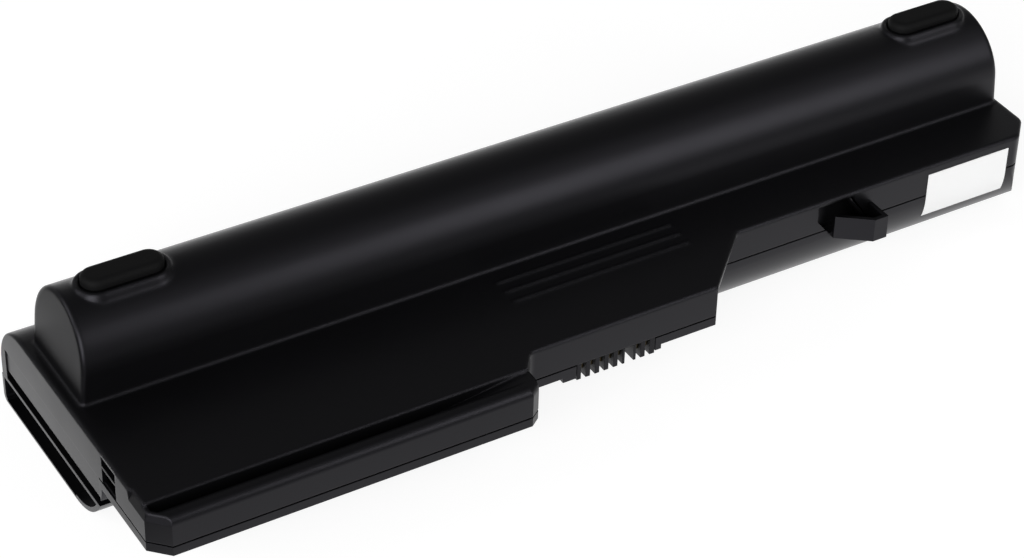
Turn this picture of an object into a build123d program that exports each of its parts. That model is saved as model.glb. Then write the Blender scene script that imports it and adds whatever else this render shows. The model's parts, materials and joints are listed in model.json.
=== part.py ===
"""Extended laptop battery: two moulded shells round nine cells, a board and a comb connector.

x runs along the pack, y to its back, z up from the flat bottom. Lengths are millimetres.
"""
import math
import os

from build123d import *

os.makedirs("parts", exist_ok=True)

# Cells
cell_diameter = 18.4
cell_length = 65.2
cell_chamfer = 0.5
button_diameter = 6.4
button_height = 0.7
crimp_depth = 0.6
crimp_width = 1.2
crimp_inset = 2.4
stations = ("left", "middle", "right")
row_gap = 2.6
row_shift = 0.72

# Straps, leads and paper
strap_thickness = 0.3
strap_width = 7.0
lead_thickness = 0.25
lead_height = 1.4
lead_pitch = 1.5
tap_height = 1.6
tap_pad_inset = 6.0
solder_length = 2.0
paper_thickness = 0.3
paper_overhang = 0.15
ring_outer_diameter = 16.0
ring_inner_diameter = 8.4

# Housing walls and clearances
wall = 0.95
fit_clearance = 0.1
back_room = 1.75
barrel_room = 2.25
end_gap = 1.25
end_recess = 2.4
part_line_gap = 0.35
part_line_depth = 0.4

# Base
upper_front_height = 6.8
slab_thickness = 9.0
back_edge_radius = 11.0
bottom_edge_radius = 1.5
top_edge_radius = 0.45
spacer_length = 58.0
cradle_thickness = 1.2
cradle_pitch = 40.0

# Front outline, measured from the right end towards the left
right_chamfer_length = 4.2
right_chamfer_depth = 4.6
right_corner_radius = 2.5
right_wall_length = 72.7
slant_corner_radius = 0.8
slant_undercut = 4.3
mid_reach = 12.7
mid_wall_length = 41.1
mid_corner_radius = 2.2
lip_step_length = 2.5
lip_step_depth = 3.3
lip_reach = 21.7
lip_corner_chamfer = 3.5
lip_end_chamfer_length = 2.0
lip_end_chamfer_depth = 1.5

# Lip along the front left
lip_depth = 5.2
lip_drop = 0.7
lip_edge_radius = 1.7
groove_width = 2.4
groove_depth = 3.6
groove_end_inset = 1.9
groove_ramp_length = 22.0
groove_corner_chamfer = 1.0
rim_width = 1.3
rim_drop = 2.4
rim_lean = 0.7
rim_length = 4.7

# Ends
rail_height = 6.5
rail_thickness = 0.8
rail_slot_height = 1.95
rail_back_stop = 2.6
end_pocket_floor = 0.45
end_step_depth = 0.25
end_step_height = 4.9
window_length = 5.7
window_offset = 0.6
window_rib_height = 0.5
window_rib_drop = 3.0

# Bulge and feet
bulge_wall = 1.4
bulge_cell_clearance = 0.15
bulge_rise = 6.4
bulge_draft = 5.0
bulge_end_wall = 1.05
bulge_end_clearance = 0.48
bulge_edge_radius = 0.7
bulge_foot_radius = 0.35
foot_length = 16.0
foot_width = 5.8
foot_gap = 0.3
foot_height = 1.75
foot_seat_depth = 0.8
foot_edge_radius = 1.1
plinth_height = 0.6
plinth_margin = 0.9
plinth_draft = 22.0
plinth_edge_radius = 0.35
left_foot_inset = 16.1
right_foot_inset = 13.5

# Ridges on the top face
ridge_count = 3
ridge_length = 39.3
ridge_width = 0.8
ridge_height = 0.35
ridge_edge_radius = 0.3
ridge_pitch = 3.2
ridge_front_inset = 1.8
ridge_right_inset = 82.3

# Latch lug and its pocket
lug_right_inset = 40.3
lug_length = 9.4
lug_flat_length = 3.2
lug_reach = 5.5
lug_tip_reach = 0.8
lug_wall = 0.9
lug_height = 5.1
lug_drop = 2.1
latch_pocket_length = 13.0
latch_top_length = 7.9
latch_pocket_drop = 1.2
latch_corner_length = 3.0
latch_corner_height = 3.6
latch_cell_clearance = 0.3
latch_rib_thickness = 0.6
latch_rib_gap = 0.5

# Board and connector
board_left_inset = 34.0
board_overhang = 9.6
board_thickness = 1.0
board_rise = 1.3
board_clearance = 0.5
post_diameter = 3.0
boss_inset = 12.2
boss_drop = 1.0
boss_left_width = 2.8
boss_right_width = 1.3
connector_gap = 0.2
connector_depth = 8.0
connector_drop = 1.45
comb_count = 8
comb_key = 5
comb_pitch = 2.0
comb_slot_width = 1.05
comb_key_width = 1.95
comb_slot_depth = 5.0
comb_left_margin = 1.4
comb_right_margin = 1.6
comb_roof = 0.1
contact_thickness = 0.2
contact_height = 2.2
contact_length = 3.8
fuse_length = 9.0
fuse_depth = 3.2
fuse_height = 1.6
fuse_inset = 44.0
bead_length = 3.0
bead_depth = 1.8
bead_height = 1.4
bead_drop = 0.4
bead_inset = 22.0
bead_leg_width = 0.35

# Sticker on the right front wall
label_length = 19.9
label_height = 10.4
label_thickness = 0.12
label_glue = 0.02
label_right_inset = 6.8
label_top_inset = 2.0

# Heights
cell_radius = cell_diameter / 2
base_height = cell_diameter + 2 * (wall + fit_clearance)
cell_z = base_height / 2
part_line_z = base_height - upper_front_height
slab_z = base_height - slab_thickness
ceiling_z = base_height - wall
slot_top_z = rail_height + rail_slot_height
bulge_axis_z = base_height + bulge_rise
bulge_radius = cell_radius + bulge_cell_clearance + bulge_wall
bulge_top_z = bulge_axis_z + bulge_radius
plinth_z = bulge_top_z + plinth_height
board_z = part_line_z + board_rise
board_top_z = board_z + board_thickness
tap_top_z = board_top_z + tap_height
lead_z = ceiling_z - fit_clearance - lead_height
latch_floor_z = part_line_z - latch_pocket_drop
lip_z = base_height - lip_drop

# Depths, from the back face forwards
row_pitch = cell_diameter + row_gap
barrel_radius = cell_radius + fit_clearance + wall + barrel_room
back_row_inset = wall + back_room + cell_radius
pack_depth = back_row_inset + row_pitch + barrel_radius + lip_reach
y_back = pack_depth / 2
y_lip = -y_back
y_deep = y_lip + lip_reach
y_mid = y_deep - mid_reach
y_step = y_deep + wall
y_back_row = y_back - back_row_inset
y_front_row = y_back_row - row_pitch
y_rail = y_front_row - math.sqrt(barrel_radius**2 - (barrel_radius - rail_height) ** 2) + wall
y_bulge = (y_back_row + y_front_row) / 2
y_plate = y_lip + lip_depth
y_board_front = y_mid + wall + board_clearance
y_board_back = y_deep - board_clearance
y_solder = y_board_back - solder_length
latch_pocket_depth = barrel_radius - cell_radius - wall - latch_cell_clearance
y_lead = y_deep + latch_pocket_depth + wall + lead_pitch
y_tap_lead = y_lead - lead_pitch

# Lengths
cell_pitch = cell_length + strap_thickness
row_length = len(stations) * cell_pitch + strap_thickness
end_depth = end_recess + wall
pack_length = row_length + 2 * (end_depth + end_gap)
x_right = pack_length / 2
x_left = -x_right
x_row = row_shift - row_length / 2
x_row_end = row_shift + row_length / 2
x_slant = x_right - right_wall_length
x_low_slant = x_slant - slant_undercut
x_mid = x_slant - mid_reach
x_mid_left = x_mid - mid_wall_length
x_lip = x_mid_left - lip_step_length
x_boss = x_mid - boss_inset
x_body_right = x_boss - boss_right_width - connector_gap
x_comb = x_body_right - comb_right_margin - (comb_count - 1) * comb_pitch
x_body_left = x_comb - comb_left_margin
x_board_left = x_left + board_left_inset
x_board_right = x_boss + board_overhang
x_lug = x_right - lug_right_inset
x_pocket = x_lug - latch_pocket_length
x_pocket_top = x_pocket + latch_top_length
bulge_inner_half = row_length / 2 + bulge_end_clearance
bulge_crest_half = bulge_inner_half + bulge_end_wall
bulge_root_half = bulge_crest_half + math.tan(math.radians(bulge_draft)) * (bulge_top_z - ceiling_z)
foot_places = {"left": x_left + left_foot_inset, "right": x_right - right_foot_inset}
cell_rows = {
    "back": (y_back_row, cell_z),
    "front": (y_front_row, cell_z),
    "top": (y_bulge, bulge_axis_z),
}


def save(block, name):
    """Label a finished part and write its STEP file."""
    block.part.label = name
    export_step(block.part, f"parts/{name}.step")


def span(x0, x1, y0, y1, mode=Mode.ADD):
    """Rectangle between two corners of the active sketch."""
    with Locations(((x0 + x1) / 2, (y0 + y1) / 2)):
        Rectangle(abs(x1 - x0), abs(y1 - y0), mode=mode)


def block(x_span, y_span, z_span, mode=Mode.ADD):
    """Box between two corners of the active part."""
    spans = (x_span, y_span, z_span)
    with Locations(tuple(sum(ends) / 2 for ends in spans)):
        Box(*[abs(ends[1] - ends[0]) for ends in spans], mode=mode)


def front_plane(y):
    """Upright plane that faces the front, with x to the right and z up."""
    return Plane.XZ.offset(-y)


def pack_outline(x_corner, inset=0):
    """Plan outline of the pack in the active sketch; its slanted step meets the right wall at x_corner."""
    with BuildLine() as line:
        Polyline(
            (x_left, y_back),
            (x_right, y_back),
            (x_right, y_deep + right_chamfer_depth),
            (x_right - right_chamfer_length, y_deep),
            (x_corner, y_deep),
            (x_mid, y_mid),
            (x_mid_left, y_mid),
            (x_lip, y_mid - lip_step_depth),
            (x_lip, y_lip + lip_end_chamfer_depth),
            (x_lip - lip_end_chamfer_length, y_lip),
            (x_left + lip_corner_chamfer, y_lip),
            (x_left, y_lip + lip_corner_chamfer),
            close=True,
        )
    outline = make_face(line.edges())
    if inset:
        offset(amount=-inset, kind=Kind.INTERSECTION, mode=Mode.REPLACE)
    else:
        corners = {
            (x_mid_left, y_mid): mid_corner_radius,
            (x_corner, y_deep): slant_corner_radius,
            (x_right - right_chamfer_length, y_deep): right_corner_radius,
            (x_right, y_deep + right_chamfer_depth): right_corner_radius,
        }
        for point, radius in corners.items():
            outline = fillet(outline.vertices().sort_by_distance(point)[0], radius)


def tray_curve(inset):
    """Back wall, floor and barrel front of the tray, in the active y-z line."""
    back = Line((y_back - inset, rail_height), (y_back - inset, bottom_edge_radius))
    corner = JernArc(back @ 1, (0, -1), bottom_edge_radius - inset, -90)
    floor = Line(corner @ 1, (y_front_row, inset))
    barrel = JernArc(floor @ 1, (-1, 0), barrel_radius - inset, -90)
    return back @ 0, barrel @ 1


def tray_hollow():
    """Section of the space inside the tray, in the active y-z sketch."""
    with BuildLine() as line:
        start, end = tray_curve(wall)
        Polyline(end, (end.X, part_line_z), (start.X, part_line_z), start)
    make_face(line.edges())


def bulge_section(radius, foot_z):
    """D section of the bulge, in the active y-z sketch."""
    with BuildLine() as line:
        Polyline(
            (y_bulge + radius, bulge_axis_z),
            (y_bulge + radius, foot_z),
            (y_bulge - radius, foot_z),
            (y_bulge - radius, bulge_axis_z),
        )
        CenterArc((y_bulge, bulge_axis_z), radius, 0, 180)
    make_face(line.edges())


def latch_pocket():
    """Outline of the latch pocket, in the active x-z sketch."""
    Polygon(
        (x_pocket_top, ceiling_z),
        (x_pocket, ceiling_z),
        (x_pocket, latch_floor_z + latch_corner_height),
        (x_pocket + latch_corner_length, latch_floor_z),
        (x_lug, latch_floor_z),
        align=None,
    )


def latch_frame(z_span):
    """Walls round the latch pocket between two heights."""
    y_span = (y_deep + wall / 2, y_deep + latch_pocket_depth + wall)
    block((x_pocket - wall, x_lug + wall), y_span, z_span)


def lug_outline(inset=0):
    """Plan of the wedge-shaped lug and its root in the wall, in the active sketch."""
    Polygon(
        (x_lug, y_deep + lug_wall),
        (x_lug, y_deep - lug_reach),
        (x_lug - lug_flat_length, y_deep - lug_reach),
        (x_lug - lug_length, y_deep - lug_tip_reach),
        (x_lug - lug_length, y_deep + lug_wall),
        align=None,
    )
    if inset:
        offset(amount=-inset, kind=Kind.INTERSECTION, mode=Mode.REPLACE)


# Space inside the upper housing
with BuildPart() as upper_hollow:
    with BuildSketch(Plane.XY.offset(part_line_z)):
        pack_outline(x_low_slant, wall)
        span(x_left, x_right, y_mid + wall, y_back, Mode.INTERSECT)
        span(x_left + rim_width + wall, x_lip - wall, y_plate + wall, y_deep)
    extrude(amount=ceiling_z - part_line_z)
    shelf_z = slot_top_z + wall
    with BuildSketch(Plane.XY.offset(shelf_z)):
        pack_outline(x_low_slant, wall)
        span(x_left, x_right, y_step, y_back, Mode.INTERSECT)
    extrude(amount=part_line_z - shelf_z)
    with BuildSketch(Plane.XY.offset(rail_height)):
        pack_outline(x_low_slant, wall)
        span(x_left + end_depth, x_right - end_depth, y_step, y_back, Mode.INTERSECT)
    extrude(amount=shelf_z - rail_height)
    back_edge = upper_hollow.edges().filter_by(Axis.X).sort_by_distance((0, y_back, ceiling_z))[0]
    fillet(back_edge, back_edge_radius - wall)
    with BuildSketch(Plane.YZ.offset(row_shift - bulge_inner_half)):
        bulge_section(bulge_radius - bulge_wall, part_line_z)
    extrude(amount=2 * bulge_inner_half)

# Bulge over the top row, with drafted ends and rounded end edges
with BuildPart() as bulge:
    with BuildSketch(Plane.YZ.offset(row_shift - bulge_root_half)):
        bulge_section(bulge_radius, ceiling_z)
    extrude(amount=2 * bulge_root_half)
    for side in (-1, 1):
        with BuildSketch(front_plane(y_bulge)):
            Polygon(
                (row_shift + side * bulge_root_half, ceiling_z),
                (row_shift + side * bulge_crest_half, bulge_top_z),
                (row_shift + side * bulge_root_half, bulge_top_z),
                align=None,
            )
        extrude(amount=bulge_radius, both=True, mode=Mode.SUBTRACT)
    x_end_edges = bulge_crest_half - wall
    end_edges = bulge.edges().filter_by(lambda edge: abs(edge.center().X - row_shift) > x_end_edges)
    fillet(end_edges.filter_by(Axis.Y, reverse=True), bulge_edge_radius)

# Groove behind the lip's strip; its front left corner follows the lip's chamfer
with BuildPart() as groove:
    groove_z = base_height - groove_depth
    x_groove = x_left + rim_width
    x_ramp = x_lip - groove_end_inset
    with BuildSketch(front_plane(y_plate)):
        Polygon(
            (x_groove, base_height),
            (x_groove, groove_z),
            (x_ramp - groove_ramp_length, groove_z),
            (x_ramp, lip_z),
            (x_ramp, base_height),
            align=None,
        )
    extrude(amount=groove_width)
    corner = groove.edges().filter_by(Axis.Z).sort_by_distance((x_groove, y_lip, groove_z))[0]
    chamfer(corner, groove_corner_chamfer)

with BuildPart() as upper_housing:
    # Front walls, top plate that overhangs the slanted step, and the skirt round the cells
    with BuildSketch(Plane.XY.offset(part_line_z)):
        pack_outline(x_low_slant)
    extrude(amount=upper_front_height)
    with BuildSketch(Plane.XY.offset(ceiling_z)):
        pack_outline(x_slant)
    extrude(amount=wall)
    skirts = ((rail_height, slot_top_z, y_rail), (slot_top_z, part_line_z, y_step))
    for skirt_z, skirt_top, y_skirt in skirts:
        with BuildSketch(Plane.XY.offset(skirt_z)):
            pack_outline(x_low_slant)
            span(x_left, x_right, y_skirt, y_back, Mode.INTERSECT)
        extrude(amount=skirt_top - skirt_z)
    back_edge = upper_housing.edges().filter_by(Axis.X).sort_by_distance((0, y_back, base_height))[0]
    fillet(back_edge, back_edge_radius)
    rim_edges = upper_housing.faces().sort_by(Axis.Z)[-1].outer_wire().edges()
    fillet(rim_edges.sort_by(Axis.Y)[:-1], top_edge_radius)

    # Bulge with its foot plinths
    add(bulge.part)
    foot_edges = upper_housing.edges().filter_by_position(Axis.Z, base_height, base_height)
    foot_edges = foot_edges.filter_by(lambda edge: abs(edge.center().X - row_shift) <= bulge_root_half)
    foot_edges = foot_edges.filter_by(lambda edge: abs(edge.center().Y - y_bulge) <= bulge_radius)
    fillet(foot_edges, bulge_foot_radius)
    for x_foot in foot_places.values():
        plinth_drop = bulge_wall + plinth_height
        spread = foot_gap + plinth_margin + plinth_drop * math.tan(math.radians(plinth_draft))
        with BuildSketch(Plane.XY.offset(plinth_z - plinth_drop)):
            with Locations((x_foot, y_bulge)):
                SlotOverall(foot_length + 2 * spread, foot_width + 2 * spread)
        extrude(amount=plinth_drop, taper=plinth_draft)
    fillet(upper_housing.edges().filter_by_position(Axis.Z, plinth_z, plinth_z), plinth_edge_radius)

    # Hollow inside and seats for the feet
    add(upper_hollow.part, mode=Mode.SUBTRACT)
    for x_foot in foot_places.values():
        with BuildSketch(Plane.XY.offset(plinth_z)):
            with Locations((x_foot, y_bulge)):
                SlotOverall(foot_length + 2 * foot_gap, foot_width + 2 * foot_gap)
        extrude(amount=-foot_seat_depth, mode=Mode.SUBTRACT)

    # Ridges on the top face
    with BuildSketch(Plane.XY.offset(base_height)):
        x_ridge = x_right - ridge_right_inset - ridge_length / 2
        y_ridge = y_deep + ridge_front_inset + ridge_pitch * (ridge_count - 1) / 2
        with Locations((x_ridge, y_ridge)):
            with GridLocations(ridge_length, ridge_pitch, 1, ridge_count):
                SlotOverall(ridge_length, ridge_width)
    extrude(amount=ridge_height)
    ridge_z = base_height + ridge_height
    fillet(upper_housing.edges().filter_by_position(Axis.Z, ridge_z, ridge_z), ridge_edge_radius)

    # Lip: lowered strip with a rounded front edge, the groove, and a left rim and corner that lean inwards
    with BuildSketch(Plane.XY.offset(lip_z)):
        span(x_left, x_lip, y_lip, y_plate)
    extrude(amount=lip_drop, mode=Mode.SUBTRACT)
    strip_edges = upper_housing.edges().filter_by_position(Axis.Z, lip_z, lip_z)
    strip_edges = strip_edges.filter_by(lambda edge: edge.center().Y < y_lip + lip_end_chamfer_depth)
    fillet(strip_edges, lip_edge_radius)
    add(groove.part, mode=Mode.SUBTRACT)
    with BuildSketch(front_plane(y_plate + rim_length)):
        Polygon(
            (x_left, base_height),
            (x_left, base_height - rim_drop),
            (x_left + rim_lean, base_height),
            align=None,
        )
    extrude(amount=lip_depth + rim_length, mode=Mode.SUBTRACT)
    rim_corner = Plane((x_left, y_lip + lip_corner_chamfer), x_dir=(1, 1, 0), z_dir=(1, -1, 0))
    with BuildSketch(rim_corner.offset(-rim_width)):
        Polygon((0, base_height), (0, base_height - rim_drop), (rim_lean, base_height), align=None)
    extrude(amount=math.sqrt(2) * lip_corner_chamfer + 2 * rim_width, mode=Mode.SUBTRACT)

    # Window in the left end of the slab, crossed by a rib
    y_window = y_deep - window_offset
    rib_top_z = base_height - window_rib_drop
    window_x = (x_left, x_left + wall)
    window_y = (y_window, y_window - window_length)
    block(window_x, window_y, (rib_top_z, ceiling_z), Mode.SUBTRACT)
    block(window_x, window_y, (part_line_z, rib_top_z - window_rib_height), Mode.SUBTRACT)

    # Rail slots and the shallow step above them at both ends
    for x_end, inward in ((x_left, 1), (x_right, -1)):
        rail_y = (y_step, y_back - rail_back_stop)
        slot_x = (x_end, x_end + inward * end_recess)
        block(slot_x, rail_y, (rail_height, slot_top_z), Mode.SUBTRACT)
        step_x = (x_end, x_end + inward * end_step_depth)
        block(step_x, rail_y, (slot_top_z, slot_top_z + end_step_height), Mode.SUBTRACT)

    # Pocket behind the latch lug, with a thin rib along its sloping side
    latch_frame((part_line_z, base_height - wall / 2))
    with BuildSketch(front_plane(y_deep)):
        latch_pocket()
    extrude(amount=-latch_pocket_depth, mode=Mode.SUBTRACT)
    slope = (x_lug - x_pocket_top) / (ceiling_z - latch_floor_z)
    rib_drift = slope * (ceiling_z - part_line_z)
    x_rib_right = x_pocket_top - latch_rib_gap
    x_rib_left = x_rib_right - latch_rib_thickness
    with BuildSketch(front_plane(y_deep)):
        Polygon(
            (x_rib_left, ceiling_z),
            (x_rib_right, ceiling_z),
            (x_rib_right + rib_drift, part_line_z),
            (x_rib_left + rib_drift, part_line_z),
            align=None,
        )
    extrude(amount=-latch_pocket_depth)

save(upper_housing, "upper_housing")

# Space inside the lower housing
with BuildPart() as lower_hollow:
    with BuildSketch(Plane.YZ.offset(x_left + end_depth)):
        tray_hollow()
    extrude(amount=pack_length - 2 * end_depth)
    with BuildSketch(Plane.XY.offset(slab_z + wall)):
        pack_outline(x_low_slant, wall)
        span(x_left, x_right, y_lip, y_deep, Mode.INTERSECT)
    extrude(amount=part_line_z - slab_z - wall)

with BuildPart() as lower_housing:
    # Tray with a barrel front, and the slab floor in front of it
    with BuildSketch(Plane.YZ.offset(x_left)):
        with BuildLine():
            start, end = tray_curve(0)
            Polyline(
                end,
                (y_deep, part_line_z),
                (y_step, part_line_z),
                (y_step, slot_top_z),
                (y_rail, slot_top_z),
                (y_rail, rail_height),
                start,
            )
        make_face()
    extrude(amount=pack_length)
    with BuildSketch(Plane.XY):
        pack_outline(x_low_slant)
    extrude(amount=part_line_z, mode=Mode.INTERSECT)
    with BuildSketch(Plane.XY.offset(slab_z)):
        pack_outline(x_low_slant)
        span(x_left, x_low_slant, y_lip, y_step, Mode.INTERSECT)
    extrude(amount=part_line_z - slab_z)
    y_body_back = y_mid + connector_depth
    boss_x = (x_body_left - connector_gap - boss_left_width, x_boss)
    block(boss_x, (y_mid, y_body_back + connector_gap + wall), (slab_z - boss_drop, slab_z))
    add(lower_hollow.part, mode=Mode.SUBTRACT)

    # Cradle ribs that hold the two lower rows
    for index in range(len(stations)):
        for side in (-1, 1):
            x_mid_cell = x_row + strap_thickness + index * cell_pitch + cell_length / 2
            x_rib = x_mid_cell + side * cradle_pitch / 2 - cradle_thickness / 2
            with BuildSketch(Plane.YZ.offset(x_rib)):
                tray_hollow()
                span(y_lip, y_back, 0, rail_height - fit_clearance, Mode.INTERSECT)
                with Locations((y_back_row, cell_z), (y_front_row, cell_z)):
                    Circle(cell_radius + fit_clearance, mode=Mode.SUBTRACT)
                span(y_bulge - row_gap / 2, y_bulge + row_gap / 2, 0, rail_height, Mode.SUBTRACT)
            extrude(amount=cradle_thickness)

    # Rail slots and end pockets; the right pocket stops short of the chamfer
    pocket_fronts = (y_deep, y_deep + right_chamfer_depth + wall)
    for x_end, inward, y_front in zip((x_left, x_right), (1, -1), pocket_fronts):
        slot_x = (x_end, x_end + inward * end_recess)
        block(slot_x, (y_deep, y_rail), (rail_height, slot_top_z), Mode.SUBTRACT)
        with BuildSketch(Plane.YZ.offset(x_end)):
            tray_hollow()
            span(y_front_row, y_back - bottom_edge_radius, end_pocket_floor, wall)
            span(y_front, y_back, 0, rail_height - rail_thickness, Mode.INTERSECT)
        extrude(amount=inward * end_recess, mode=Mode.SUBTRACT)

    # Dark line where the shells meet: the lower edge is set back all round
    with BuildSketch(Plane.XY.offset(part_line_z)):
        pack_outline(x_low_slant)
        pack_outline_inner = offset(amount=-part_line_depth, kind=Kind.INTERSECTION, mode=Mode.PRIVATE)
        add(pack_outline_inner, mode=Mode.SUBTRACT)
    extrude(amount=-part_line_gap, mode=Mode.SUBTRACT)
    back_line_y = (y_back - part_line_depth, y_back)
    block((x_left, x_right), back_line_y, (rail_height - part_line_gap, rail_height), Mode.SUBTRACT)

    # Latch lug, hollow and open at its top, and the foot of the pocket behind it
    latch_frame((latch_floor_z - wall, part_line_z))
    lug_z = part_line_z - lug_drop
    with BuildSketch(Plane.XY.offset(lug_z)):
        lug_outline()
    extrude(amount=lug_drop)
    with BuildSketch(front_plane(y_deep)):
        latch_pocket()
    extrude(amount=-latch_pocket_depth, mode=Mode.SUBTRACT)
    with BuildSketch(Plane.XY.offset(part_line_z)):
        lug_outline()
        span(x_lug - lug_length, x_lug, y_deep - fit_clearance, y_deep + lug_wall, Mode.SUBTRACT)
    extrude(amount=lug_height - lug_drop)
    with BuildSketch(Plane.XY.offset(latch_floor_z)):
        lug_outline(lug_wall)
    extrude(amount=latch_pocket_drop + lug_height - lug_drop, mode=Mode.SUBTRACT)

    # Opening for the connector and posts under the board
    opening_x = (x_body_left - connector_gap, x_body_right + connector_gap)
    opening_y = (y_mid, y_body_back + connector_gap)
    block(opening_x, opening_y, (slab_z - boss_drop, part_line_z), Mode.SUBTRACT)
    post_inset = board_clearance + post_diameter
    post_xs = (x_board_left + post_inset, opening_x[0] - post_inset, x_board_right - post_diameter)
    with Locations([(x, (y_board_front + y_board_back) / 2, slab_z + wall) for x in post_xs]):
        post_height = board_z - slab_z - wall
        Cylinder(post_diameter / 2, post_height, align=(Align.CENTER, Align.CENTER, Align.MIN))

save(lower_housing, "lower_housing")

# Rubber feet in the plinths
for side, x_foot in foot_places.items():
    with BuildPart() as foot:
        with BuildSketch(Plane.XY.offset(plinth_z - foot_seat_depth)):
            with Locations((x_foot, y_bulge)):
                SlotOverall(foot_length, foot_width)
        extrude(amount=foot_seat_depth + foot_height)
        fillet(foot.faces().sort_by(Axis.Z)[-1].edges(), foot_edge_radius)
    save(foot, f"foot_{side}")

# One cell, its axis along x and its button to the right
with BuildPart() as cell:
    shoulder = cell_length - button_height
    crimp = shoulder - crimp_inset
    with BuildSketch(Plane.XY):
        Polygon(
            (0, 0),
            (cell_length, 0),
            (cell_length, button_diameter / 2),
            (shoulder, button_diameter / 2),
            (shoulder, cell_radius - cell_chamfer),
            (shoulder - cell_chamfer, cell_radius),
            (crimp, cell_radius),
            (crimp - crimp_width / 2, cell_radius - crimp_depth),
            (crimp - crimp_width, cell_radius),
            (cell_chamfer, cell_radius),
            (0, cell_radius - cell_chamfer),
            align=None,
        )
    revolve(axis=Axis.X)

for row, (y_cell, z_cell) in cell_rows.items():
    for index, station in enumerate(stations):
        with BuildPart() as placed_cell:
            with Locations((x_row + strap_thickness + index * cell_pitch, y_cell, z_cell)):
                add(cell.part)
        save(placed_cell, f"cell_{row}_{station}")

# Paper rings round the buttons
with BuildPart() as insulator_rings:
    for index in range(len(stations)):
        x_ring = x_row + (index + 1) * cell_pitch - button_height
        with BuildSketch(Plane.YZ.offset(x_ring)):
            with Locations(*cell_rows.values()):
                Circle(ring_outer_diameter / 2)
                Circle(ring_inner_diameter / 2, mode=Mode.SUBTRACT)
        extrude(amount=paper_thickness)
save(insulator_rings, "insulator_rings")

# Nickel straps over the cell ends, each with an arm towards the board
end_arm = (lead_z, lead_z + lead_height)
tap_arm = (board_top_z, tap_top_z)
strap_arms = {
    "strap_negative_end": (y_lead, end_arm),
    "strap_left_middle": (y_solder, tap_arm),
    "strap_middle_right": (y_tap_lead, tap_arm),
    "strap_positive_end": (y_lead, end_arm),
}
for index, (name, (y_arm, arm_z)) in enumerate(strap_arms.items()):
    with BuildPart() as strap:
        with BuildSketch(Plane.YZ.offset(x_row + index * cell_pitch)):
            with Locations(*cell_rows.values()):
                Circle(strap_width / 2)
            make_hull()
            span(y_arm - lead_thickness / 2, (y_front_row + y_bulge) / 2, *arm_z)
        extrude(amount=strap_thickness)
    save(strap, name)

# Paper sheets over the end straps
for side, x_sheet in (("left", x_row - paper_thickness), ("right", x_row_end)):
    with BuildPart() as end_insulator:
        with BuildSketch(Plane.YZ.offset(x_sheet)):
            with Locations(*cell_rows.values()):
                Circle(strap_width / 2 + paper_overhang)
            make_hull()
        extrude(amount=paper_thickness)
    save(end_insulator, f"end_insulator_{side}")

# Bars between the lower rows, under the top row
with BuildPart() as row_spacers:
    for index in range(len(stations)):
        x_spacer = x_row + strap_thickness + index * cell_pitch + cell_length / 2
        spacer_x = (x_spacer - spacer_length / 2, x_spacer + spacer_length / 2)
        spacer_half = row_gap / 2 - fit_clearance
        spacer_top = bulge_axis_z - cell_radius - fit_clearance
        block(spacer_x, (y_bulge - spacer_half, y_bulge + spacer_half), (wall, spacer_top))
save(row_spacers, "row_spacers")

# Flat leads from the straps to the board
x_negative = x_row + strap_thickness
x_tap = x_row + 2 * cell_pitch
x_positive = x_row_end - strap_thickness
lead_routes = {
    "lead_negative": (x_negative, x_board_left + solder_length, y_lead, end_arm),
    "tap_lead": (x_tap, x_board_right - tap_pad_inset, y_tap_lead, tap_arm),
    "lead_positive": (x_positive, x_board_right - solder_length, y_lead, end_arm),
}
for name, (x_strap, x_pad, y_run, run_z) in lead_routes.items():
    with BuildPart() as lead:
        half = lead_thickness / 2
        block((x_strap, x_pad), (y_run - half, y_run + half), run_z)
        block((x_pad - half, x_pad + half), (y_solder, y_run + half), run_z)
        block((x_pad - half, x_pad + half), (y_solder, y_board_back), (board_top_z, run_z[1]))
    save(lead, name)

# Circuit board on its posts
with BuildPart() as circuit_board:
    board_span = (y_board_front, y_board_back)
    block((x_board_left, x_board_right), board_span, (board_z, board_top_z))
save(circuit_board, "circuit_board")

# Chips in a row along the front of the board: inset from its right end, length, depth, height
chips = {
    "sense_resistor": (9.0, 6.4, 3.2, 0.6),
    "gauge_chip": (18.0, 6.5, 6.4, 1.2),
    "charge_switch": (28.0, 5.0, 6.0, 1.1),
    "discharge_switch": (35.0, 5.0, 6.0, 1.1),
    "filter_capacitor": (23.5, 1.6, 3.2, 1.0),
}
y_chips = (y_board_front + y_solder) / 2
with BuildPart() as board_chips:
    for chip_inset, chip_length, chip_depth, chip_height in chips.values():
        with Locations((x_board_right - chip_inset, y_chips, board_top_z)):
            Box(chip_length, chip_depth, chip_height, align=(Align.CENTER, Align.CENTER, Align.MIN))
save(board_chips, "board_chips")

with BuildPart() as fuse:
    with Locations((x_board_right - fuse_inset, y_chips, board_top_z)):
        Box(fuse_length, fuse_depth, fuse_height, align=(Align.CENTER, Align.CENTER, Align.MIN))
save(fuse, "fuse")

# Thermistor bead against the middle front cell, on two legs from the board
with BuildPart() as thermistor:
    bead_z = board_top_z - bead_drop
    cell_face = y_front_row - math.sqrt(cell_radius**2 - (bead_z - cell_z) ** 2)
    x_bead = x_board_right - bead_inset
    bead_y = (cell_face - fit_clearance - bead_depth, cell_face - fit_clearance)
    block((x_bead - bead_length / 2, x_bead + bead_length / 2), bead_y, (bead_z, bead_z + bead_height))
    for side in (-1, 1):
        x_leg = x_bead + side * bead_length / 4
        leg_x = (x_leg - bead_leg_width / 2, x_leg + bead_leg_width / 2)
        block(leg_x, (y_solder, bead_y[0]), (board_top_z, board_top_z + bead_leg_width))
save(thermistor, "thermistor")

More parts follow.
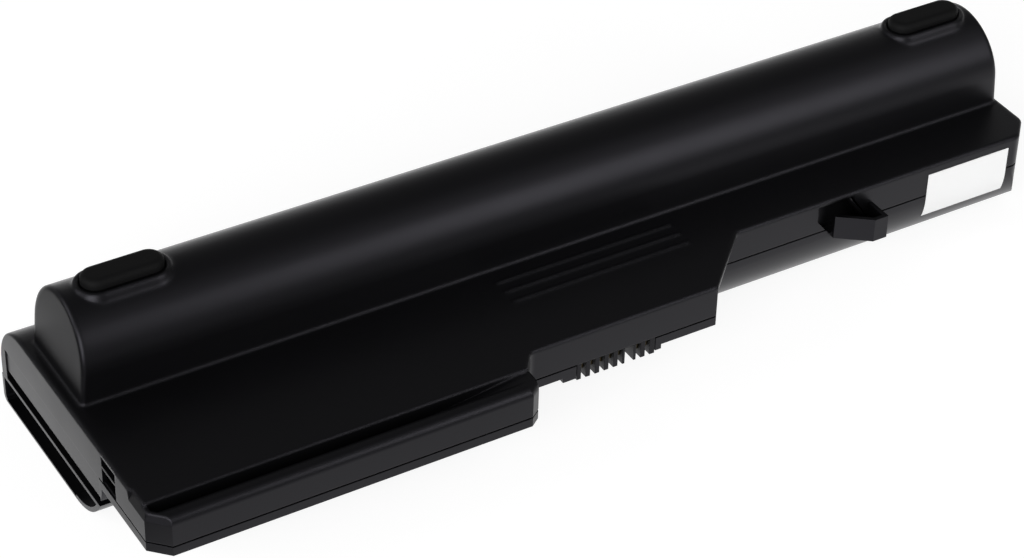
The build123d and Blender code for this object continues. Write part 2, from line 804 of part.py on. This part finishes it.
# Paper strip on the tray's front rib, between board and cells
with BuildPart() as insulating_strip:
    strip_y = (y_deep + paper_thickness, y_deep + 2 * paper_thickness)
    block((x_board_left, x_board_right), strip_y, (part_line_z, board_top_z - fit_clearance))
save(insulating_strip, "insulating_strip")

# Connector under the board, its comb flush with the front wall; one slot is a wide key
comb_z = slab_z - connector_drop
slot_roof_z = part_line_z - comb_roof
slot_xs = [x_comb + index * comb_pitch for index in range(comb_count) if index != comb_key]
slot_align = (Align.CENTER, Align.MIN)
with BuildPart() as connector_body:
    body_x = (x_body_left, x_body_right)
    y_shoulder = y_mid + wall + fit_clearance
    block(body_x, (y_mid, y_body_back), (comb_z, part_line_z))
    block(body_x, (y_shoulder, y_body_back), (part_line_z, board_z))
    with BuildSketch(front_plane(y_mid)):
        with Locations([(x, comb_z) for x in slot_xs]):
            Rectangle(comb_slot_width, slot_roof_z - comb_z, align=slot_align)
        with Locations((x_comb + comb_key * comb_pitch, comb_z)):
            Rectangle(comb_key_width, slot_roof_z - comb_z, align=slot_align)
    extrude(amount=-comb_slot_depth, mode=Mode.SUBTRACT)
save(connector_body, "connector_body")

# Spring forks at the back of the comb's slots; the key slot stays empty
with BuildPart() as connector_contacts:
    y_fork = y_mid + comb_slot_depth
    with BuildSketch(Plane.XY.offset(slot_roof_z)):
        with Locations([(x, y_fork) for x in slot_xs]):
            Rectangle(comb_slot_width, contact_length, align=(Align.CENTER, Align.MAX))
        with Locations([(x, y_fork - contact_thickness) for x in slot_xs]):
            fork_gap = comb_slot_width - 2 * contact_thickness
            Rectangle(fork_gap, contact_length, align=(Align.CENTER, Align.MAX), mode=Mode.SUBTRACT)
    extrude(amount=-contact_height)
save(connector_contacts, "connector_contacts")

# Blank sticker, wrapped from the right front wall onto the barrel
with BuildPart() as blank_label:
    label_x = x_right - label_right_inset - label_length
    label_top = base_height - label_top_inset
    wrap = math.degrees((label_height - (label_top - barrel_radius)) / barrel_radius)
    with BuildSketch(Plane.YZ.offset(label_x)):
        with BuildLine():
            axis = (y_front_row, barrel_radius)
            inner = CenterArc(axis, barrel_radius + label_glue, 180, wrap)
            outer = CenterArc(axis, barrel_radius + label_glue + label_thickness, 180, wrap)
            Line(inner @ 1, outer @ 1)
            label_back = inner @ 0
            label_front = outer @ 0
            Polyline(label_back, (label_back.X, label_top), (label_front.X, label_top), label_front)
        make_face()
    extrude(amount=label_length)
save(blank_label, "blank_label")
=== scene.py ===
"""Looks of an extended laptop battery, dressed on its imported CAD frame. Lengths are metres."""
import json
import math

import bpy
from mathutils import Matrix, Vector

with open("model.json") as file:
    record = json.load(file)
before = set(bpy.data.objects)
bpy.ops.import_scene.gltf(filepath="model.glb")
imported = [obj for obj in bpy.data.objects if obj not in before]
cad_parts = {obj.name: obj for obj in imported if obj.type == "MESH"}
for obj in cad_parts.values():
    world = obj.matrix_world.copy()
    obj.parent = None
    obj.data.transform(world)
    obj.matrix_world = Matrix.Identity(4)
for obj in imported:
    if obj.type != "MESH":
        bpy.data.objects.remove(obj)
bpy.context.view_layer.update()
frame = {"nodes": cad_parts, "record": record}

MM = 0.001
WHITE = (1.0, 1.0, 1.0, 1.0)

# Camera, as fitted to the photo
CAMERA_PLACE = (-254.1 * MM, -393.5 * MM, 363.15 * MM)
CAMERA_TURN = (53.14, -1.266, -30.58)
CAMERA_LENS = 107.26

# Lamps: the front and top lamps make the band of light along the bulge
WORLD_LEVEL = 0.18
LAMPS = {
    "front_light": {"place": (0.5, -0.8, 0.5), "size": (0.32, 0.65), "watts": 3.0},
    "fill_light": {"place": (-1.0, -0.9, 0.5), "size": (1.0, 1.0), "watts": 17.0},
    "top_light": {"place": (0.55, -0.4, 0.95), "size": (0.5, 0.5), "watts": 0.45},
    "back_light": {"place": (0.4, 1.2, 0.33), "size": (3.0, 0.35), "watts": 2.0},
    "left_light": {"place": (-0.9, 0.3, 0.45), "size": (0.6, 0.6), "watts": 3.0},
}

# Floor: white to the camera, and in reflections a sheet with a painted glow that dims to the front and left,
# a painted reflection of uneven studio light and of the pack's shadow on the floor
FLOOR_SIZE = 6.0
FLOOR_DROP = 0.05 * MM
FLOOR_COLOUR = (0.86, 0.86, 0.86, 1.0)
FLOOR_WHITE = 1.22
FLOOR_SHADOW_SHARE = 0.3
FLOOR_FRONT = {"y": -0.15, "glow": 0.35}
FLOOR_BACK = {"y": 0.05, "glow": 1.65}
FLOOR_GLOW_DIM = {"x": -0.13, "share": 0.1}
FLOOR_GLOW_FULL = {"x": -0.105, "share": 1.0}

# Moulded grain, and edges that are crisp on the walls and soft on the top
GRAIN_SIZE = 0.35 * MM
GRAIN_DETAIL = 2.0
EDGE_SAMPLES = 8
CRISP_EDGE = {"z": 18.5 * MM, "radius": 0.15 * MM}
SOFT_EDGE = {"z": 20.0 * MM, "radius": 1.3 * MM}

# Slow drifts of tone and roughness
CLOUD_SIZE = 12.0 * MM
CLOUD_DETAIL = 3.0
CLOUD_SHADE = 0.94
CLOUD_ROUGHNESS = 0.03

# Finish of each material slot in the record; grain is the height of the moulded texture
BLACK = (0.0016, 0.0016, 0.0018)
VIOLET_TINT = (0.9, 0.88, 1.0, 1.0)
FINISHES = {
    "housing_plastic": {
        "colour": BLACK, "roughness": 0.38, "grain": 0.01 * MM, "specular": 0.27, "tint": VIOLET_TINT,
    },
    "connector_plastic": {
        "colour": BLACK, "roughness": 0.4, "grain": 0.008 * MM, "specular": 0.2, "tint": VIOLET_TINT,
    },
    "foot_rubber": {
        "colour": (0.002, 0.002, 0.0022), "roughness": 0.7, "grain": 0.02 * MM, "specular": 0.15,
    },
    "label_vinyl": {"colour": (0.94, 0.94, 0.94), "roughness": 0.4},
    # contact_brass: painted shade, the brass colour is darkened well below bright brass to stand for the
    # shade down in the connector slots
    "contact_brass": {"colour": (0.14, 0.11, 0.06), "roughness": 0.5, "metallic": 1.0},
    "cell_sleeve": {"colour": (0.05, 0.22, 0.14), "roughness": 0.3},
    "nickel": {"colour": (0.62, 0.6, 0.56), "roughness": 0.35, "metallic": 1.0},
    "insulating_paper": {"colour": (0.78, 0.77, 0.7), "roughness": 0.8, "grain": 0.02 * MM},
    "spacer_plastic": {"colour": (0.6, 0.6, 0.58), "roughness": 0.55, "grain": 0.01 * MM},
    "board_laminate": {"colour": (0.02, 0.13, 0.05), "roughness": 0.35},
    "chip_plastic": {"colour": (0.02, 0.02, 0.02), "roughness": 0.5, "grain": 0.01 * MM},
    "fuse_ceramic": {"colour": (0.7, 0.66, 0.58), "roughness": 0.6},
    "bead_resin": {"colour": (0.02, 0.02, 0.025), "roughness": 0.25},
}


def new_material(name):
    """Empty node material; returns the material and its node tree."""
    material = bpy.data.materials.new(name)
    material.use_nodes = True
    tree = material.node_tree
    tree.nodes.clear()
    return material, tree


def own_place(tree):
    """Coordinates of the object itself."""
    return tree.nodes.new("ShaderNodeTexCoord").outputs["Object"]


def own_axes(tree):
    """The object's own X, Y and Z, by name."""
    axes = tree.nodes.new("ShaderNodeSeparateXYZ")
    tree.links.new(own_place(tree), axes.inputs["Vector"])
    return axes.outputs


def noise_field(tree, size, detail):
    """Noise with blots of about this size."""
    noise = tree.nodes.new("ShaderNodeTexNoise")
    noise.inputs["Scale"].default_value = 1 / size
    noise.inputs["Detail"].default_value = detail
    tree.links.new(own_place(tree), noise.inputs["Vector"])
    return noise.outputs["Fac"]


def ramp(tree, value, low, high, axis, level):
    """Level that runs from one place on an axis to another, and is held beyond them."""
    span = tree.nodes.new("ShaderNodeMapRange")
    span.inputs["From Min"].default_value = low[axis]
    span.inputs["From Max"].default_value = high[axis]
    span.inputs["To Min"].default_value = low[level]
    span.inputs["To Max"].default_value = high[level]
    tree.links.new(value, span.inputs["Value"])
    return span.outputs["Result"]


def combine(tree, operation, first, second):
    """Math node on two sockets."""
    result = tree.nodes.new("ShaderNodeMath")
    result.operation = operation
    tree.links.new(first, result.inputs[0])
    tree.links.new(second, result.inputs[1])
    return result.outputs["Value"]


def cloud_surface(tree, shader, colour, roughness):
    """Let colour and roughness drift a little over the surface."""
    clouds = noise_field(tree, CLOUD_SIZE, CLOUD_DETAIL)
    tone = tree.nodes.new("ShaderNodeMix")
    tone.data_type = "RGBA"
    tone.inputs["A"].default_value = (*[level * CLOUD_SHADE for level in colour], 1.0)
    tone.inputs["B"].default_value = (*colour, 1.0)
    tree.links.new(clouds, tone.inputs["Factor"])
    tree.links.new(tone.outputs["Result"], shader.inputs["Base Color"])
    polish = tree.nodes.new("ShaderNodeMapRange")
    polish.inputs["To Min"].default_value = roughness - CLOUD_ROUGHNESS
    polish.inputs["To Max"].default_value = roughness + CLOUD_ROUGHNESS
    tree.links.new(clouds, polish.inputs["Value"])
    tree.links.new(polish.outputs["Result"], shader.inputs["Roughness"])


def grain_normal(tree, height):
    """Normal of a fine moulded grain on rounded edges."""
    edge = tree.nodes.new("ShaderNodeBevel")
    edge.samples = EDGE_SAMPLES
    radius = ramp(tree, own_axes(tree)["Z"], CRISP_EDGE, SOFT_EDGE, "z", "radius")
    tree.links.new(radius, edge.inputs["Radius"])
    bump = tree.nodes.new("ShaderNodeBump")
    bump.inputs["Strength"].default_value = 1.0
    bump.inputs["Distance"].default_value = height
    tree.links.new(noise_field(tree, GRAIN_SIZE, GRAIN_DETAIL), bump.inputs["Height"])
    tree.links.new(edge.outputs["Normal"], bump.inputs["Normal"])
    return bump.outputs["Normal"]


def solid_finish(name, colour, roughness, metallic=0.0, grain=0.0, specular=0.5, tint=WHITE):
    """Material of one colour, with its grain and drifts."""
    material, tree = new_material(name)
    shader = tree.nodes.new("ShaderNodeBsdfPrincipled")
    output = tree.nodes.new("ShaderNodeOutputMaterial")
    shader.inputs["Metallic"].default_value = metallic
    shader.inputs["Specular IOR Level"].default_value = specular
    shader.inputs["Specular Tint"].default_value = tint
    cloud_surface(tree, shader, colour, roughness)
    if grain:
        tree.links.new(grain_normal(tree, grain), shader.inputs["Normal"])
    tree.links.new(shader.outputs["BSDF"], output.inputs["Surface"])
    return material


def floor_finish():
    """White floor that keeps a soft shadow, and in reflections a sheet with a painted glow, dimmer to the
    front and left.
    """
    material, tree = new_material("studio_floor")
    paths = tree.nodes.new("ShaderNodeLightPath")
    camera_ray = paths.outputs["Is Camera Ray"]
    paper = tree.nodes.new("ShaderNodeBsdfDiffuse")
    paper.inputs["Color"].default_value = FLOOR_COLOUR

    # painted reflection: glow strength set by place on the floor, dimmer to the front and left, seen only in
    # reflections
    axes = own_axes(tree)
    from_front = ramp(tree, axes["Y"], FLOOR_FRONT, FLOOR_BACK, "y", "glow")
    from_left = ramp(tree, axes["X"], FLOOR_GLOW_DIM, FLOOR_GLOW_FULL, "x", "share")
    level = tree.nodes.new("ShaderNodeMix")
    level.inputs["B"].default_value = FLOOR_WHITE
    tree.links.new(combine(tree, "MULTIPLY", from_front, from_left), level.inputs["A"])
    tree.links.new(camera_ray, level.inputs["Factor"])
    glow = tree.nodes.new("ShaderNodeEmission")
    glow.inputs["Color"].default_value = WHITE
    tree.links.new(level.outputs["Result"], glow.inputs["Strength"])

    white_share = tree.nodes.new("ShaderNodeMapRange")
    white_share.inputs["To Max"].default_value = 1 - FLOOR_SHADOW_SHARE
    tree.links.new(camera_ray, white_share.inputs["Value"])
    mirrored = combine(tree, "MAXIMUM", paths.outputs["Is Glossy Ray"], paths.outputs["Is Transmission Ray"])
    share = combine(tree, "MAXIMUM", white_share.outputs["Result"], mirrored)
    mix = tree.nodes.new("ShaderNodeMixShader")
    tree.links.new(share, mix.inputs["Fac"])
    tree.links.new(paper.outputs["BSDF"], mix.inputs[1])
    tree.links.new(glow.outputs["Emission"], mix.inputs[2])
    output = tree.nodes.new("ShaderNodeOutputMaterial")
    tree.links.new(mix.outputs["Shader"], output.inputs["Surface"])
    return material


def dress_nodes():
    """Give each CAD node the finish of its slot in the record."""
    materials = {slot: solid_finish(slot, **facts) for slot, facts in FINISHES.items()}
    for part in frame["record"]["subparts"]:
        mesh = frame["nodes"][part["node"]].data
        mesh.materials.clear()
        mesh.materials.append(materials[part["material_slot"]])


def make_floor():
    """Floor a hair below the pack, so that the two faces don't share a plane."""
    bpy.ops.mesh.primitive_plane_add(size=FLOOR_SIZE, location=(0, 0, -FLOOR_DROP))
    floor = bpy.context.object
    floor.name = "studio_floor"
    floor.data.materials.append(floor_finish())


def soft_light(name, place, size, watts):
    """Rectangular area light that faces the pack."""
    lamp = bpy.data.lights.new(name, "AREA")
    lamp.shape = "RECTANGLE"
    lamp.size, lamp.size_y = size
    lamp.energy = watts
    holder = bpy.data.objects.new(name, lamp)
    holder.location = place
    holder.rotation_euler = (-Vector(place)).to_track_quat("-Z", "Y").to_euler()
    bpy.context.scene.collection.objects.link(holder)


def make_lights():
    """Dim even world with soft lamps."""
    world = bpy.data.worlds.new("studio")
    world.use_nodes = True
    backdrop = world.node_tree.nodes["Background"]
    backdrop.inputs["Color"].default_value = WHITE
    backdrop.inputs["Strength"].default_value = WORLD_LEVEL
    bpy.context.scene.world = world
    for name, facts in LAMPS.items():
        soft_light(name, **facts)


def make_camera():
    """Camera at the photo's viewing angle."""
    lens = bpy.data.cameras.new("camera")
    lens.lens = CAMERA_LENS
    holder = bpy.data.objects.new("camera", lens)
    holder.location = CAMERA_PLACE
    holder.rotation_euler = [math.radians(turn) for turn in CAMERA_TURN]
    bpy.context.scene.collection.objects.link(holder)
    bpy.context.scene.camera = holder


dress_nodes()
make_floor()
make_lights()
make_camera()
bpy.context.scene.view_settings.view_transform = "Standard"
